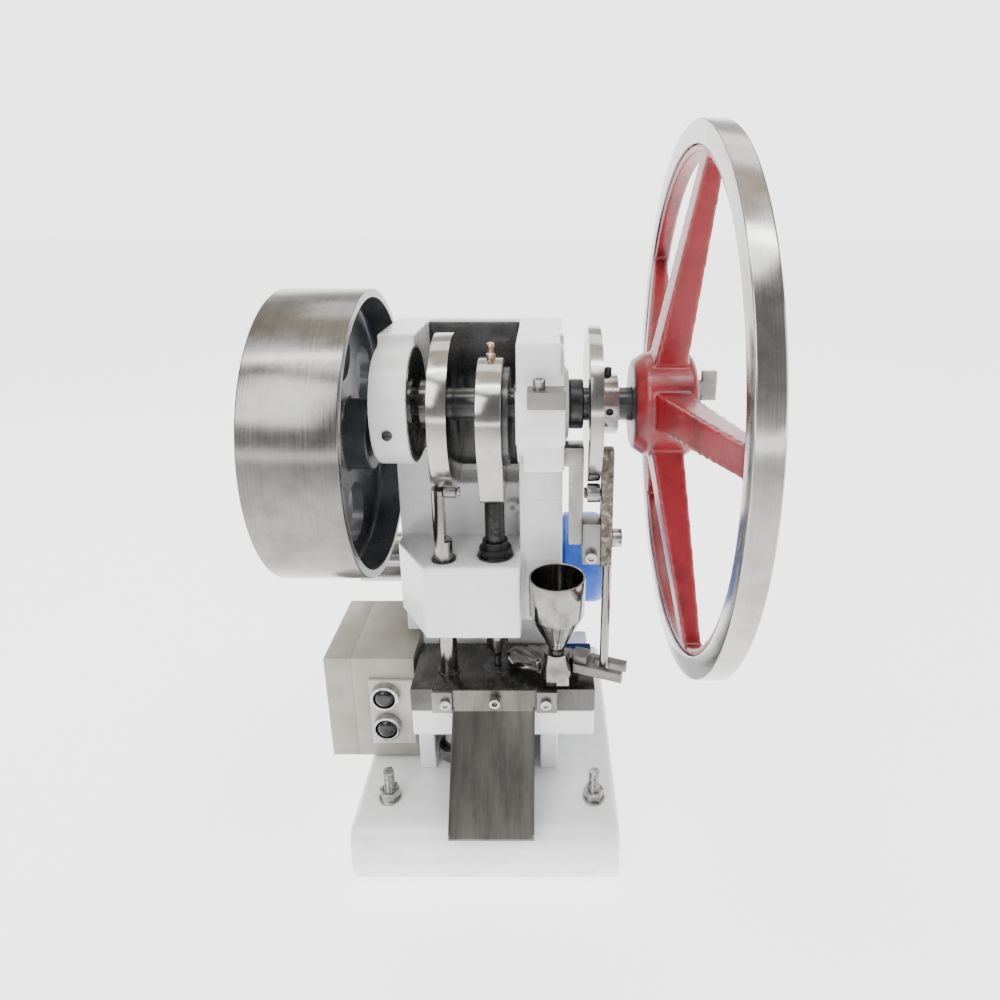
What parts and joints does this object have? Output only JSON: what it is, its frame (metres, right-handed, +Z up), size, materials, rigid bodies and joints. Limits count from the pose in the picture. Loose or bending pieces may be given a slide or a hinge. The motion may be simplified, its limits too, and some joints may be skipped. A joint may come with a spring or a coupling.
{
  "type": "single punch tablet press",
  "caption": "Bench tablet press with an eccentric-driven punch, die table, powder hopper, feed shoe, belt drum and large handwheel.",
  "frame": {"origin": "on the punch line, on the plane that the base stands on", "axes": "+Z up along the punch line, +X to the handwheel along the main shaft, +Y to the back"},
  "size_m": [0.354, 0.437, 0.6499],
  "materials": {
    "white_paint": "glossy white paint over the cast frame and base",
    "red_paint": "red paint, chipped on the ridges, on the handwheel casting",
    "blue_paint": "blue motor paint",
    "box_paint": "warm grey paint on the control box",
    "bright_steel": "turned bright steel with fine turning marks",
    "ground_steel": "ground steel of the die plate and small clamps",
    "polished_steel": "polished steel of the hopper and feed shoe",
    "stainless_sheet": "brushed stainless sheet of the chute",
    "dark_steel": "blackened or oiled dark steel",
    "zinc": "zinc plated fasteners",
    "brass": "brass grease nipple and bronze bushes",
    "black_plastic": "black push button caps",
    "cover_plastic": "blue moulded motor fan cover"
  },
  "bodies": {
    "frame": {"base": "white_paint", "base_studs": "zinc", "stud_washers": "zinc", "stud_nuts": "zinc", "frame_casting": "white_paint", "bearing_bushes": "brass", "bearing_clamp_bar": "ground_steel", "oil_plug": "dark_steel", "die_plate": "ground_steel", "die": "dark_steel", "plate_clamps": "dark_steel", "cap_screws_m6": "zinc", "chute": "stainless_sheet", "punch_sleeve": "bright_steel", "swing_bracket": "dark_steel", "pivot_block": "ground_steel", "pivot_screw": "zinc", "shoe_post": "bright_steel", "control_case": "box_paint", "control_cover": "box_paint", "button_panel": "box_paint", "button_bezels": "zinc", "motor_body": "blue_paint", "motor_fan_cover": "cover_plastic", "motor_bracket": "white_paint", "bracket_bolts": "zinc"},
    "main_shaft": {"main_shaft": "dark_steel", "gib_key": "ground_steel", "shaft_collar": "dark_steel", "lift_cam": "bright_steel", "eccentric_sheave": "dark_steel", "feed_cam": "bright_steel", "feed_cam_screws": "dark_steel", "handwheel_rim": "bright_steel", "handwheel_spider": "red_paint", "ring_gear": "dark_steel"},
    "belt_drum": {"belt_drum": "bright_steel", "pinion_shaft": "bright_steel"},
    "eccentric_strap": {"eccentric_strap": "bright_steel", "grease_nipple": "brass"},
    "upper_ram": {"ram": "bright_steel", "ram_rod": "dark_steel", "ram_locknut": "dark_steel", "upper_punch": "bright_steel"},
    "lift_rod": {"lift_rod": "bright_steel", "lift_yoke": "dark_steel", "lower_punch": "bright_steel"},
    "lift_roller": {"lift_roller": "bright_steel"},
    "fill_gear": {"fill_gear": "dark_steel"},
    "ejection_gear": {"ejection_gear": "dark_steel"},
    "swing_arm": {"swing_arm": "dark_steel", "feed_rod": "bright_steel"},
    "feed_roller": {"feed_roller": "bright_steel"},
    "feed_shoe": {"feed_shoe": "polished_steel", "feed_fork": "ground_steel", "feed_hopper": "polished_steel", "shoe_screw": "zinc"},
    "start_button": {"start_button": "black_plastic"},
    "stop_button": {"stop_button": "black_plastic"},
    "motor_rotor": {"motor_pulley": "bright_steel"}
  },
  "joints": [
    {"name": "shaft_spin", "type": "hinge", "parent": "frame", "child": "main_shaft", "pos_m": [0, 0, 0.4315], "axis": [1, 0, 0], "continuous": true},
    {"name": "drum_spin", "type": "hinge", "parent": "frame", "child": "belt_drum", "pos_m": [-0.12, 0, 0.4055], "axis": [1, 0, 0], "continuous": true},
    {"name": "strap_turn", "type": "hinge", "parent": "main_shaft", "child": "eccentric_strap", "pos_m": [0, 0, 0.4205], "axis": [1, 0, 0], "continuous": true},
    {"name": "ram_slide", "type": "slide", "parent": "frame", "child": "upper_ram", "axis": [0, 0, 1], "range_m": [0, 0.022]},
    {"name": "lift_slide", "type": "slide", "parent": "frame", "child": "lift_rod", "axis": [0, 0, -1], "range_m": [0, 0.011], "stiffness_N_per_m": 1500, "springref_m": -0.012},
    {"name": "lift_roller_spin", "type": "hinge", "parent": "lift_rod", "child": "lift_roller", "pos_m": [-0.037, -0.008, 0.3556], "axis": [1, 0, 0], "continuous": true},
    {"name": "fill_gear_turn", "type": "hinge", "parent": "frame", "child": "fill_gear", "pos_m": [0, 0, 0.101], "axis": [0, 0, 1], "range_deg": [-180, 180]},
    {"name": "ejection_gear_turn", "type": "hinge", "parent": "frame", "child": "ejection_gear", "pos_m": [0, 0, 0.114], "axis": [0, 0, 1], "range_deg": [-180, 180]},
    {"name": "arm_swing", "type": "hinge", "parent": "frame", "child": "swing_arm", "pos_m": [0.095, -0.029, 0.322], "axis": [1, 0, 0], "range_deg": [-2.5, 5], "stiffness_Nm_per_rad": 6, "springref_deg": -3.44},
    {"name": "feed_roller_spin", "type": "hinge", "parent": "swing_arm", "child": "feed_roller", "pos_m": [0.085, -0.027, 0.3624], "axis": [1, 0, 0], "continuous": true},
    {"name": "shoe_swing", "type": "hinge", "parent": "frame", "child": "feed_shoe", "pos_m": [0.062, -0.0155, 0.18], "axis": [0, 0, 1], "range_deg": [-8.5, 17]},
    {"name": "start_press", "type": "slide", "parent": "frame", "child": "start_button", "axis": [0, 1, 0], "range_m": [0, 0.003], "stiffness_N_per_m": 400},
    {"name": "stop_press", "type": "slide", "parent": "frame", "child": "stop_button", "axis": [0, 1, 0], "range_m": [0, 0.003], "stiffness_N_per_m": 400},
    {"name": "motor_spin", "type": "hinge", "parent": "frame", "child": "motor_rotor", "pos_m": [0, 0.143, 0.213], "axis": [1, 0, 0], "continuous": true}
  ],
  "couplings": [
    {"joint": "drum_spin", "follows": "shaft_spin", "ratio": 3},
    {"joint": "strap_turn", "follows": "shaft_spin", "ratio": -1},
    {"joint": "shoe_swing", "follows": "arm_swing", "ratio": 3.3}
  ]
}
